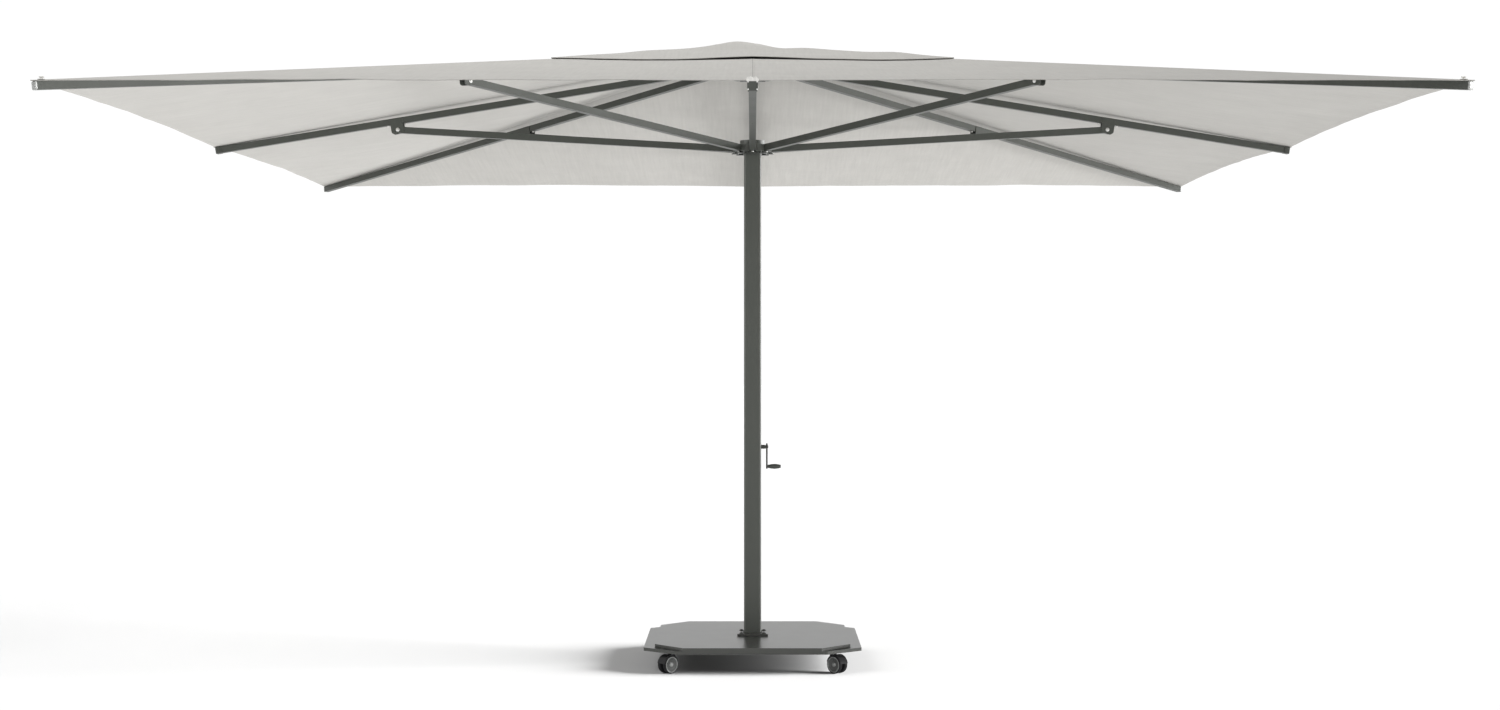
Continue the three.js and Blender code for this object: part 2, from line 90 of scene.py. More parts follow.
# ---------- materials ----------
class Shader:
    """A Principled material and the few node shapes that the materials below share."""

    def __init__(self, name, color, roughness, metallic=0.0, **sockets):
        self.material = bpy.data.materials.new(name)
        self.material.use_nodes = True
        self.material.diffuse_color = (*color, 1)
        self.tree = self.material.node_tree
        self.surface = self.tree.nodes["Principled BSDF"]
        self.surface.inputs["Base Color"].default_value = (*color, 1)
        self.surface.inputs["Roughness"].default_value = roughness
        self.surface.inputs["Metallic"].default_value = metallic
        for key, value in sockets.items():
            self.surface.inputs[key.replace("_", " ")].default_value = value
        self.place = self.tree.nodes.new("ShaderNodeTexCoord").outputs["Object"]

    def node(self, kind, inputs=(), **settings):
        made = self.tree.nodes.new(kind)
        for key, value in settings.items():
            setattr(made, key, value)
        for key, value in dict(inputs).items():
            if isinstance(value, bpy.types.NodeSocket):
                self.tree.links.new(value, made.inputs[key])
            else:
                made.inputs[key].default_value = value
        return made

    def stretched(self, scale):
        return self.node("ShaderNodeMapping", {"Vector": self.place, "Scale": scale}).outputs["Vector"]

    def noise(self, scale, detail=3.0, stretch=(1, 1, 1), roughness=0.5):
        inputs = {"Vector": self.stretched(stretch), "Scale": scale, "Detail": detail, "Roughness": roughness}
        return self.node("ShaderNodeTexNoise", inputs).outputs["Fac"]

    def wave(self, scale, direction, distortion=0.0):
        inputs = {"Vector": self.place, "Scale": scale, "Distortion": distortion, "Detail": 1.0}
        return self.node("ShaderNodeTexWave", inputs, bands_direction=direction).outputs["Fac"]

    def math(self, operation, first, second=0.0):
        return self.node("ShaderNodeMath", {0: first, 1: second}, operation=operation).outputs[0]

    def spread(self, value, from_low, from_high, low, high):
        inputs = {"Value": value, "From Min": from_low, "From Max": from_high, "To Min": low, "To Max": high}
        return self.node("ShaderNodeMapRange", inputs).outputs["Result"]

    def mix(self, share, first, second):
        def shade(value):
            return (*value, 1) if isinstance(value, tuple) else value
        inputs = {"Factor": share, 6: shade(first), 7: shade(second)}  # A and B of the colour sockets
        return self.node("ShaderNodeMix", inputs, data_type="RGBA").outputs[2]

    def scaled(self, color, factor):
        inputs = {0: color, "Scale": factor}
        return self.node("ShaderNodeVectorMath", inputs, operation="SCALE").outputs["Vector"]

    def attribute(self, name):
        return self.node("ShaderNodeAttribute", attribute_name=name).outputs["Fac"]

    def down_noise(self, pitch, stretch, detail=3.0):
        """Noise drawn out down the slope of the cloth."""
        across, down = self.attribute("cloth_across"), self.attribute("cloth_down")
        at = self.node("ShaderNodeCombineXYZ", {"X": across, "Y": self.math("MULTIPLY", down, 1 / stretch)})
        inputs = {"Vector": at.outputs["Vector"], "Scale": 1 / pitch, "Detail": detail}
        return self.node("ShaderNodeTexNoise", inputs).outputs["Fac"]

    def bump(self, height, strength, distance):
        inputs = {"Height": height, "Strength": strength, "Distance": distance}
        if self.surface.inputs["Normal"].is_linked:
            inputs["Normal"] = self.surface.inputs["Normal"].links[0].from_socket
        self.link(self.node("ShaderNodeBump", inputs).outputs["Normal"], "Normal")

    def link(self, value, socket):
        self.tree.links.new(value, self.surface.inputs[socket])


def coating(name, dark, light, roughness, metallic, grain, patches=0.06, peel=0.12):
    """Powder coat: fine orange peel, slow changes of tone, and rubbed patches that are a little smoother."""
    made = Shader(name, dark, roughness, metallic)
    tone = made.mix(made.noise(2.2, 4.0), dark, light)
    made.link(tone, "Base Color")
    made.link(made.spread(made.noise(9.0, 5.0), 0.3, 0.7, roughness - patches, roughness + patches),
              "Roughness")
    made.bump(made.noise(grain, 2.0), peel, 0.0004)
    return made.material


def metal(name, color, roughness, along):
    """Drawn or brushed metal: fine lines along one axis."""
    made = Shader(name, color, roughness, 1.0)
    lines = made.noise(420.0, 3.0, stretch=tuple(0.02 if axis == along else 1.0 for axis in "xyz"))
    cloudy = made.noise(14.0, 3.0)
    bright = tuple(min(1.0, value * 1.12) for value in color)
    dull = tuple(value * 0.86 for value in color)
    made.link(made.mix(made.math("MULTIPLY_ADD", lines, 0.5), dull, bright), "Base Color")
    made.link(made.spread(cloudy, 0.3, 0.7, roughness - 0.06, roughness + 0.1), "Roughness")
    made.bump(lines, 0.15, 0.0003)
    return made.material


def moulded(name, color, roughness, grain=700.0, depth=0.0003, gloss=0.5):
    """Moulded plastic or rubber with a fine eroded grain."""
    made = Shader(name, color, roughness, Specular_IOR_Level=gloss)
    worn = tuple(value * 1.5 + 0.004 for value in color)
    made.link(made.mix(made.spread(made.noise(30.0, 4.0), 0.45, 0.8, 0.0, 0.6), color, worn), "Base Color")
    made.link(made.spread(made.noise(60.0, 3.0), 0.3, 0.7, roughness - 0.07, roughness + 0.07), "Roughness")
    made.bump(made.noise(grain, 2.0), 0.2, depth)
    return made.material


SEAM_HALF = 0.009  # half width of a flat-felled seam
SEAM_LINE = 0.003  # the line where two gores meet
HEM = 0.026
STITCH = 0.0045
THREAD = 0.0008
WEAVE = 260.0  # wave texture scale: threads about 1.2 mm apart


def canvas(name):
    """Polyester canvas: a plain weave, slubs, slow mottling, and stitched seams and hems by distance."""
    plain = (0.500, 0.488, 0.460)
    made = Shader(name, plain, 0.85, Sheen_Weight=0.08, Sheen_Roughness=0.5)
    mottled = made.spread(made.noise(7.0, 6.0, roughness=0.6), 0.3, 0.7, 0.965, 1.03)
    streaks = made.spread(made.down_noise(0.012, 30.0), 0.3, 0.7, 0.955, 1.03)
    slubs = made.spread(made.noise(420.0, 2.0, stretch=(1, 0.15, 1)), 0.55, 0.8, 1.0, 0.96)
    seam = made.attribute("seam_distance")
    hem = made.attribute("hem_distance")
    joint = made.spread(seam, SEAM_LINE * 0.4, SEAM_LINE, 0.7, 1.0)
    uneven = made.math("MULTIPLY", mottled, streaks)
    shade = made.math("MULTIPLY", uneven, made.math("MULTIPLY", slubs, joint))
    run = made.math("SINE", made.math("MULTIPLY", made.attribute("stitch_run"), 2 * math.pi / STITCH))
    stitched = made.spread(run, -0.4, 0.1, 0.0, 1.0)

    def line(distance, at):
        off = made.math("ABSOLUTE", made.math("SUBTRACT", distance, at))
        return made.math("MULTIPLY", made.spread(off, THREAD * 0.5, THREAD, 1.0, 0.0), stitched)

    thread = made.math("MAXIMUM", line(seam, SEAM_HALF - 0.002), line(hem, HEM - 0.003))
    cloth = made.scaled(made.mix(made.noise(3.0, 2.0), plain, (0.515, 0.503, 0.474)), shade)
    made.link(made.mix(thread, cloth, (0.42, 0.405, 0.38)), "Base Color")
    made.link(made.spread(made.noise(25.0, 3.0), 0.3, 0.7, 0.8, 0.92), "Roughness")
    weave = made.math("MAXIMUM", made.wave(WEAVE, "X"), made.wave(WEAVE, "Y"))
    made.bump(weave, 0.1, 0.0003)
    made.bump(made.noise(90.0, 4.0), 0.1, 0.0008)
    made.bump(made.down_noise(0.045, 9.0), 0.5, 0.0025)
    made.bump(thread, 0.4, 0.0006)
    return made.material


CANVAS = canvas("canvas")
FRAME_COAT = coating(
    "frame_powder_coat", (0.053, 0.058, 0.050), (0.062, 0.066, 0.058), 0.40, 0.15, 800.0, 0.025, 0.08)
BASE_COAT = coating(
    "base_powder_coat", (0.044, 0.046, 0.041), (0.048, 0.050, 0.045), 0.29, 0.1, 600.0, 0.006, 0.04)
BRIGHT = metal("bright_steel", (0.72, 0.72, 0.70), 0.28, "z")
DRAWN = metal("drawn_aluminium", (0.62, 0.63, 0.63), 0.3, "z")
WINCH = coating("winch_coating", (0.024, 0.026, 0.023), (0.034, 0.036, 0.032), 0.38, 0.2, 900.0)
GRIP = moulded("grip_plastic", (0.036, 0.039, 0.034), 0.42)
BLACK = moulded("castor_plastic", (0.009, 0.009, 0.010), 0.42, gloss=0.25)
TYRE = moulded("castor_tyre", (0.010, 0.010, 0.011), 0.6, 350.0, 0.0006, gloss=0.2)
DISC = moulded("castor_disc", (0.055, 0.057, 0.055), 0.34)
# Pale grey for the castor's rim ring and hub cap: partly their own colour, partly a painted highlight where
# the light catches them.
RIM_AND_HIGHLIGHT = moulded("castor_rim_and_highlight", (0.19, 0.195, 0.19), 0.3)
WHITE = moulded("white_nylon", (0.72, 0.71, 0.68), 0.4)
CAP = moulded("tip_cap_plastic", (0.34, 0.345, 0.335), 0.3)


def cord_material():
    made = Shader("braided_cord", (0.6, 0.58, 0.52), 0.85)
    strands = made.node(
        "ShaderNodeTexWave", {"Vector": made.place, "Scale": 160.0, "Distortion": 1.0},
        bands_direction="DIAGONAL").outputs["Fac"]
    made.link(made.mix(strands, (0.48, 0.46, 0.41), (0.68, 0.66, 0.6)), "Base Color")
    made.bump(strands, 0.6, 0.0005)
    return made.material


def webbing_material():
    made = Shader("white_webbing", (0.74, 0.73, 0.70), 0.75, Sheen_Weight=0.1)
    ribs = made.wave(320.0, "X", 0.4)
    made.link(made.mix(made.noise(120.0, 3.0), (0.66, 0.65, 0.62), (0.78, 0.77, 0.74)), "Base Color")
    made.bump(ribs, 0.3, 0.0004)
    return made.material


CORD = cord_material()
WEBBING = webbing_material()


# ---------- mesh helpers ----------
def finish(name, body_mesh, material, body, smooth=38, bevel=0.0, segments=2, node=()):
    """One mesh made into a piece that rides on a body. Edges over `smooth` degrees stay sharp."""
    bmesh.ops.recalc_face_normals(body_mesh, faces=body_mesh.faces)
    mesh = bpy.data.meshes.new(name)
    body_mesh.to_mesh(mesh)
    body_mesh.free()
    return adopt(name, mesh, material, body, smooth, bevel, segments, node)


def adopt(name, mesh, material, body, smooth=38, bevel=0.0, segments=2, node=()):
    mesh.shade_smooth()
    mesh.set_sharp_from_angle(angle=math.radians(smooth))
    mesh.materials.append(material)
    piece = bpy.data.objects.new(name, mesh)
    scene.collection.objects.link(piece)
    if bevel:
        soften(piece, bevel, segments)
    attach(piece, body)
    if node:
        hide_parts(*([node] if isinstance(node, str) else node))
    return piece


def soften(piece, width, segments=2):
    bevel = piece.modifiers.new("rounded edges", "BEVEL")
    bevel.width = width
    bevel.segments = segments
    bevel.limit_method = "ANGLE"
    bevel.angle_limit = math.radians(38)
    bevel.harden_normals = True


def add_faces(made, rings, caps=(True, True)):
    """Quads between rings of points, with a cap on each end ring that asks for one."""
    rows = [[made.verts.new(point) for point in ring] for ring in rings]
    count = len(rows[0])
    for low, high in zip(rows, rows[1:]):
        for i in range(count):
            j = (i + 1) % count
            made.faces.new((low[i], low[j], high[j], high[i]))
    if caps[0]:
        made.faces.new(rows[0][::-1])
    if caps[1]:
        made.faces.new(rows[-1])
    return rows


def lathe(made, profile, place=Matrix.Identity(4), sides=48, loop=False):
    """(radius, height) pairs turned about the place's Z axis. A loop closes on itself and leaves a bore."""
    rings = []
    for radius, height in profile:
        angles = [2 * math.pi * k / sides for k in range(sides)]
        rings.append([place @ Vector((radius * math.cos(a), radius * math.sin(a), height)) for a in angles])
    if loop:
        rows = add_faces(made, rings, caps=(False, False))
        for i in range(sides):
            j = (i + 1) % sides
            made.faces.new((rows[-1][i], rows[-1][j], rows[0][j], rows[0][i]))
        return
    add_faces(made, rings)


def prism(made, outline, low, high, place=Matrix.Identity(4)):
    """An outline in the place's XY plane, between two heights."""
    add_faces(made, [[place @ Vector((x, y, z)) for x, y in outline] for z in (low, high)])


def slab(made, low, high, place=Matrix.Identity(4)):
    (x0, y0, z0), (x1, y1, z1) = low, high
    prism(made, [(x0, y0), (x1, y0), (x1, y1), (x0, y1)], z0, z1, place)


def rounded(half_x, half_y, radius, steps=6):
    """A rectangle about the origin with round corners, as points in order."""
    points = []
    for quarter, (sx, sy) in enumerate(((1, 1), (-1, 1), (-1, -1), (1, -1))):
        for k in range(steps + 1):
            a = (quarter + k / steps) * math.pi / 2
            points.append((sx * (half_x - radius) + radius * math.cos(a),
                           sy * (half_y - radius) + radius * math.sin(a)))
    return points


def arc(cx, cy, radius, start, end, steps):
    angles = [math.radians(start + (end - start) * k / steps) for k in range(steps + 1)]
    return [(cx + radius * math.cos(a), cy + radius * math.sin(a)) for a in angles]


def spin(azimuth):
    return Matrix.Rotation(azimuth, 4, "Z")


def dome(made, place, radius, height, sides=24):
    """A rivet or screw head that stands on the place's XY plane."""
    profile = [(radius, 0)]
    for k in range(1, 7):
        a = k / 6 * math.pi / 2 * 0.97
        profile.append((radius * math.cos(a), height * (0.3 + 0.7 * math.sin(a))))
    lathe(made, profile, place, sides)


# ---------- CAD nodes that keep their shape ----------
def dress(node, material, bevel=0.0, segments=2):
    """A CAD node gets its material, with flat faces merged and edges rounded on screen only."""
    piece = frame["nodes"][node]
    if piece.material_slots:
        for material_slot in piece.material_slots:
            material_slot.material = material
    else:
        piece.data.materials.append(material)
    if bevel:
        flat = piece.modifiers.new("flat faces", "DECIMATE")
        flat.decimate_type = "DISSOLVE"
        flat.angle_limit = math.radians(1)
        soften(piece, bevel, segments)
    piece.data.shade_smooth()
    piece.data.set_sharp_from_angle(angle=math.radians(28))


# ---------- canopy ----------
# The cloth's top face over a point in plan. Rows run round the square at one distance `m` from the
# middle, measured along X or Y, and a quarter turn of the square holds a side rib and a corner rib.
HALF = 2.5
ROOF_TOP = 2.835
ROOF_SLOPE = 0.1788
OPENING = 0.42
GORE_EDGE = math.pi / 8  # from a rib to the line where two cloth pieces meet
CLOTH = 0.0012
RIGHT_BOW, LEFT_BOW, BACK_BOW, FRONT_BOW = 0.021, 0.015, 0.010, 0.003  # the hem's rise between two ribs
MID_SAG = 0.007


def smoothstep(low, high, value):
    t = min(1.0, max(0.0, (value - low) / (high - low)))
    return t * t * (3 - 2 * t)


def bell(value, middle, width):
    return math.exp(-((value - middle) ** 2) / (2 * width * width))


def between_ribs(x, y):
    """0 on a rib's line and 1 halfway to the next."""
    across = min(abs(x), abs(y)) / max(abs(x), abs(y), 1e-9)
    return math.sin(math.pi * across)


def folds(x, y, pitch, stretch, seed):
    """Soft creases that run out from the middle: narrow across the slope and long down it."""
    down, across = (x, y) if abs(x) > abs(y) else (y, x)
    side = seed + (1 if down > 0 else 2) * (3 if abs(x) > abs(y) else 7)
    return noise.noise(Vector((across / pitch, down / (pitch * stretch), side)))


def roof(x, y):
    m = max(abs(x), abs(y))
    open_span = between_ribs(x, y)
    hem_share = smoothstep(1.7, HALF, m)
    sag = -MID_SAG * open_span * math.sin(math.pi * min(1.0, m / HALF))
    if abs(x) > abs(y):
        bow = RIGHT_BOW if x > 0 else LEFT_BOW
    else:
        bow = BACK_BOW if y > 0 else FRONT_BOW
    arch = bow * open_span * hem_share
    crease = 0.0030 * folds(x, y, 0.34, 4.0, 11.3) + 0.0012 * folds(x, y, 0.11, 3.0, 4.1)
    swell = 0.0035 * noise.noise(Vector((x * 1.7, y * 1.7, 5.5)))
    flutter = 0.0022 * hem_share * noise.noise(Vector((x * 6.0, y * 6.0, 2.2)))
    free = open_span ** 0.6
    return ROOF_TOP - ROOF_SLOPE * m + sag + arch + free * (crease + swell + flutter)


VENT_HALF = 0.855
VENT_TOP = 2.872
VENT_EDGE = 2.691
VENT_SLOPE = (VENT_TOP - VENT_EDGE) / VENT_HALF
VENT_MIDDLE = 0.16  # half side of the piece that stays with the crown
VENT_BLUNT = 0.035  # how far the peak is rounded off


def vent(x, y):
    """The cap's top: a blunt peak, a slack slope, and an edge that floats a little over the roof."""
    m = max(abs(x), abs(y))
    blunt = math.sqrt(m * m + VENT_BLUNT ** 2)
    peak = 0.0138 * bell(x, -0.085, 0.075) * bell(y, -0.06, 0.12)
    hollow = 0.0125 * bell(x, 0.13, 0.07) * bell(y, -0.12, 0.14)
    swell = (0.0050 * bell(x, -0.42, 0.15) + 0.0115 * bell(x, 0.62, 0.075)) * bell(y, -0.3, 0.4)
    dip = -0.007 * math.sin(math.pi * smoothstep(0.0, VENT_HALF, m))
    ridge_wave = 0.005 * noise.noise(Vector((x * 4.3 + 1.7, y * 4.3, 8.8))) * smoothstep(0.05, 0.3, m)
    crease = 0.0022 * folds(x, y, 0.13, 3.0, 20.4) * between_ribs(x, y)
    slope = VENT_TOP - VENT_SLOPE * blunt + peak - hollow + swell + dip + ridge_wave + crease
    along = min(abs(x), abs(y))
    gap = 0.0090 + 0.0028 * math.cos(2 * math.pi * min(along, 0.35) / 0.70)
    edge = roof(x, y) + gap + (VENT_HALF - m) * 0.03
    share = smoothstep(0.60, VENT_HALF, m)
    return slope * (1 - share) + edge * share


def square_point(m, azimuth):
    c, s = math.cos(azimuth), math.sin(azimuth)
    return Vector((c, s)) * (m / max(abs(c), abs(s)))


SEAM_STEP = 0.0012  # how far a seam's or hem's fold takes to drop
SEAM_RISE = 0.0009
HEM_RISE = 0.0007
FOLD_EDGE = 0.0004  # a point this close inside a fold's edge still lies on it


def gore(name, azimuth, rows, height, hems, steps, middle_seam=True):
    """A closed sheet round one rib's line: `rows` are distances m, and each row runs from one gore edge,
    over the rib's line, to the other. `hems` are the m of the edges that are folded and stitched."""
    top, under, seam_at, hem_at, run_at, across_at, down_at = [], [], [], [], [], [], []
    columns = 2 * (steps + 4) + 1
    low_edge, middle, high_edge = (azimuth + turn for turn in (-GORE_EDGE, 0, GORE_EDGE))
    for m in rows:
        rib_point = square_point(m, middle)
        sides = []
        for edge in (low_edge, high_edge):
            away = square_point(m, edge) - rib_point
            length = away.length
            way = away / length
            radial = Vector((math.cos(azimuth), math.sin(azimuth)))
            square_on = abs(way.x * radial.y - way.y * radial.x)
            close = [d / square_on for d in (0.0015, SEAM_HALF - 0.0008, SEAM_HALF, SEAM_HALF + SEAM_STEP)]
            reach = close[-1]
            far = [reach + (length - reach) * k / steps for k in range(1, steps + 1)]
            sides.append([(rib_point + way * d, d * square_on) for d in close + far])
        line = sides[0][::-1] + [(rib_point, 0.0)] + sides[1]
        for point, off_rib in line:
            x, y = point
            z = height(x, y)
            hem = min(abs(m - edge) for edge in hems)
            doubled = HEM_RISE if hem < HEM - FOLD_EDGE else 0.0
            if middle_seam and off_rib < SEAM_HALF - FOLD_EDGE:
                doubled = max(doubled, SEAM_RISE)
            top.append(Vector((x, y, z + doubled * 0.6)))
            under.append(Vector((x, y, z - CLOTH - doubled)))
            seam_at.append(off_rib if middle_seam else 1.0)
            hem_at.append(hem)
            across_at.append(y if abs(x) > abs(y) else x)
            down_at.append(m)
            run_at.append(m if hem > HEM else point.dot(Vector((-math.sin(azimuth), math.cos(azimuth)))))
    count = len(rows) * columns
    faces = []
    for r in range(len(rows) - 1):
        for c in range(columns - 1):
            a, b = r * columns + c, r * columns + c + 1
            d, e = a + columns, b + columns
            faces.append((a, d, e, b))
            faces.append((a + count, b + count, e + count, d + count))
    rim = list(range(columns)) + [r * columns + columns - 1 for r in range(1, len(rows))]
    rim += [(len(rows) - 1) * columns + c for c in range(columns - 2, -1, -1)]
    rim += [r * columns for r in range(len(rows) - 2, 0, -1)]
    for a, b in zip(rim, rim[1:] + rim[:1]):
        faces.append((a, b, b + count, a + count))
    mesh = bpy.data.meshes.new(name)
    mesh.from_pydata(top + under, [], faces)
    mesh.validate()
    for key, values in (("seam_distance", seam_at), ("hem_distance", hem_at), ("stitch_run", run_at),
                        ("cloth_across", across_at), ("cloth_down", down_at)):
        layer = mesh.attributes.new(key, "FLOAT", "POINT")
        layer.data.foreach_set("value", values * 2)
    body_mesh = bmesh.new()
    body_mesh.from_mesh(mesh)
    bmesh.ops.recalc_face_normals(body_mesh, faces=body_mesh.faces)
    body_mesh.to_mesh(mesh)
    body_mesh.free()
    return mesh


def levels(low, high, step, hems):
    """Distances from low to high, with close pairs where a hem's fold ends."""
    count = max(2, round((high - low) / step))
    made = {low + (high - low) * k / count for k in range(count + 1)}
    for hem in hems:
        inward = 1 if hem == low else -1
        marks = [hem + inward * HEM, hem + inward * (HEM + SEAM_STEP)]
        made = {m for m in made if all(abs(m - mark) > 0.006 for mark in marks)} | set(marks)
    return sorted(made)


def tangent(azimuth):
    return (-math.sin(azimuth), math.cos(azimuth), 0)


CLOTHS = []
CANOPY_ROWS = levels(OPENING, HALF, 0.036, (OPENING, HALF))
VENT_ROWS = levels(VENT_MIDDLE, VENT_HALF, 0.03, (VENT_HALF,))

for tag in TAGS:
    azimuth = AZIMUTH[tag]
    name = f"canopy_cloth_{tag}"
    mesh = gore(name, azimuth, CANOPY_ROWS, roof, (OPENING, HALF), 30)
    cloth_piece = adopt(name, mesh, CANVAS, f"rib_{tag}", node=f"canopy_panel_{tag}")
    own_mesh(cloth_piece)
    CLOTHS.append(cloth_piece)

# the vent cap: eight sectors that fold with the ribs, and a middle that stays with the crown
for tag in TAGS:
    azimuth = AZIMUTH[tag]
    name = f"vent_cloth_{tag}"
    mesh = gore(name, azimuth, VENT_ROWS, vent, (VENT_HALF,), 12, tag in CORNERS)
    sector = adopt(name, mesh, CANVAS, f"rib_{tag}")
    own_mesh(sector)
    CLOTHS.append(sector)


def vent_middle():
    """The middle of the vent cap, from rows round the square and one point at the top."""
    steps = 64
    rows = [VENT_MIDDLE * k / 14 for k in range(14, 0, -1)]
    made = bmesh.new()
    turns = [2 * math.pi * k / steps for k in range(steps)]
    layers = []
    for drop in (0.0, CLOTH):
        rings = []
        for m in rows:
            points = [square_point(m, a) for a in turns]
            rings.append([made.verts.new((p.x, p.y, vent(p.x, p.y) - drop)) for p in points])
        tip = made.verts.new((0, 0, vent(0, 0) - drop))
        for outer, inner in zip(rings, rings[1:]):
            for i in range(steps):
                j = (i + 1) % steps
                made.faces.new((outer[i], outer[j], inner[j], inner[i]))
        for i in range(steps):
            made.faces.new((rings[-1][i], rings[-1][(i + 1) % steps], tip))
        layers.append(rings[0])
    for i in range(steps):
        j = (i + 1) % steps
        made.faces.new((layers[0][i], layers[1][i], layers[1][j], layers[0][j]))
    bmesh.ops.recalc_face_normals(made, faces=made.faces)
    mesh = bpy.data.meshes.new("vent_cloth_middle")
    made.to_mesh(mesh)
    made.free()
    for key in ("seam_distance", "hem_distance", "stitch_run"):
        mesh.attributes.new(key, "FLOAT", "POINT").data.foreach_set("value", [1.0] * len(mesh.vertices))
    places = [vertex.co for vertex in mesh.vertices]
    for key, values in (("cloth_across", [min(abs(p.x), abs(p.y)) for p in places]),
                        ("cloth_down", [max(abs(p.x), abs(p.y)) for p in places])):
        mesh.attributes.new(key, "FLOAT", "POINT").data.foreach_set("value", values)
    return mesh


middle = adopt(
    "vent_cloth_middle", vent_middle(), CANVAS, "crown", smooth=60, node="vent_cap")
CLOTHS.append(middle)

# ---------- frame: CAD nodes that keep their shape ----------
for tag in TAGS:
    dress(f"rib_{tag}", FRAME_COAT, 0.0022, 3)
    dress(f"strut_{tag}", FRAME_COAT, 0.0022, 3)
dress("strut_hub", FRAME_COAT)
dress("mast_foot", BASE_COAT, 0.0015)
for node in ("top_crown", "crown_cap"):
    dress(node, FRAME_COAT, 0.0008)
for node in ("base_plate_lower", "base_plate_upper"):
    dress(node, BASE_COAT, 0.0018, 3)
dress("rope_drum", WINCH, 0.0005)
dress("rope_sheave", WINCH, 0.0005)
dress("lift_rope", CORD)

# ---------- rib ends, brackets and fastenings ----------
TUBE_HALF = 0.015
RIB_AXIS_Z = 2.775
RIB_DROP = 0.406  # from the middle's height to the tip's
STRUT_PIN_R = 1.648
KNOB_R = 3.494  # where a corner's knob holds the cloth down
SIDE_ON = Matrix.Rotation(math.pi / 2, 4, "X")  # puts an outline's Y up and its thickness across
FLIP = Matrix.Rotation(math.pi, 4, "X")


class Spoke:
    """The places of one rib: its root, its tip and the pin under it, each with X along the rib."""

    def __init__(self, tag):
        corner = tag in CORNERS
        self.tip_r = 3.519 if corner else 2.492
        self.pin_z = 2.5498 if corner else 2.4664
        slope = RIB_DROP / (self.tip_r + 0.008)
        self.tilt = Matrix.Rotation(math.atan(slope), 4, "Y")
        self.turn = spin(AZIMUTH[tag])
        self.cosine = math.cos(math.atan(slope))
        self.axis_z = lambda r: RIB_AXIS_Z - slope * r
        self.offset = (self.axis_z(STRUT_PIN_R) - self.pin_z) * self.cosine

    def at(self, r, z):
        return self.turn @ Matrix.Translation((r, 0, z)) @ self.tilt

    def pin(self):
        return self.at(STRUT_PIN_R, self.pin_z)

    def tip(self):
        return self.at(self.tip_r, self.axis_z(self.tip_r))


def across(place, y):
    """A place on the +Y or -Y side of another, with Z outwards."""
    sign = 1 if y > 0 else -1
    return place @ Matrix.Translation((0, y, 0)) @ Matrix.Rotation(-sign * math.pi / 2, 4, "X")


def bracket(tag, spoke):
    inner, outer, half = TUBE_HALF + 0.0004, TUBE_HALF + 0.0034, 0.030
    low, high = -0.017, spoke.offset + TUBE_HALF
    middle = (low + high) / 2
    outline = [(x, z + middle) for x, z in rounded(half, (high - low) / 2, 0.012, 8)]
    made = bmesh.new()
    place = spoke.pin()
    for side in ((inner, outer), (-outer, -inner)):
        prism(made, outline, side[0], side[1], place @ SIDE_ON)
    web_top = spoke.offset - TUBE_HALF - 0.0003
    slab(made, (-half + 0.004, -inner - 0.0005, web_top - 0.0027),
         (half - 0.004, inner + 0.0005, web_top), place)
    lathe(made, [(0.005, -outer), (0.005, outer)], place @ SIDE_ON, 24)
    finish(f"bracket_{tag}", made, FRAME_COAT, f"rib_{tag}", bevel=0.0007,
           node=f"rib_bracket_{tag}")
    heads = bmesh.new()
    for side in (outer, -outer):
        face = across(place, side)
        lathe(heads, [(0.0088, 0), (0.0088, 0.0009), (0.0082, 0.0012)], face, 28)
        dome(heads, face @ Matrix.Translation((0, 0, 0.0012)), 0.0052, 0.0032)
    finish(f"bracket_pins_{tag}", heads, BRIGHT, f"rib_{tag}")
    knobs = bmesh.new()
    for x in (-half - 0.009, half + 0.012):
        under = place @ Matrix.Translation((x, 0, spoke.offset - TUBE_HALF)) @ FLIP
        lathe(knobs, [(0.0060, -0.0002), (0.0060, 0.0012), (0.0046, 0.0018), (0.0046, 0.0046),
                      (0.0034, 0.0060), (0.0010, 0.0064)], under, 28)
    finish(f"rib_screws_{tag}", knobs, WHITE, f"rib_{tag}")


def tip_cap(tag, spoke):
    """A plug that closes the rib's end: bulged on a corner rib, a wider framed plate on a side rib."""
    end = spoke.tip()
    place = end @ Matrix.Rotation(math.pi / 2, 4, "Y")
    made = bmesh.new()
    if tag in CORNERS:
        wide, high, radius = 0.0153, 0.0153, 0.0036
        sections = [(-0.0015, 1.0), (0.0012, 1.0)]
        sections += [(0.0012 + 0.0050 * math.sin(t), 0.97 * math.cos(t) ** 0.45)
                     for t in (math.radians(a) for a in (4, 16, 30, 45, 60, 74, 84))]
    else:
        wide, high, radius = 0.0188, 0.0160, 0.0016
        sections = [(-0.0220, 0.98), (-0.0212, 1.0), (0.0012, 1.0), (0.0024, 0.95), (0.0024, 0.80),
                    (0.0012, 0.76)]
    rings = []
    for x, share in sections:
        rings.append([place @ Vector((a, b, x))
                      for a, b in rounded(high * share, wide * share, radius * share, 5)])
    add_faces(made, rings)
    finish(f"rib_tip_cap_{tag}", made, CAP if tag in CORNERS else FRAME_COAT, f"rib_{tag}",
           smooth=30)
    if tag in CORNERS:
        return
    screws = bmesh.new()
    for y in (-0.0158, 0.0158):
        for z in (-0.0130, 0.0130):
            corner = end @ Matrix.Translation((0.0020, y, z)) @ Matrix.Rotation(math.pi / 2, 4, "Y")
            dome(screws, corner, 0.0027, 0.0014, 16)
    finish(f"rib_tip_screws_{tag}", screws, BRIGHT, f"rib_{tag}")


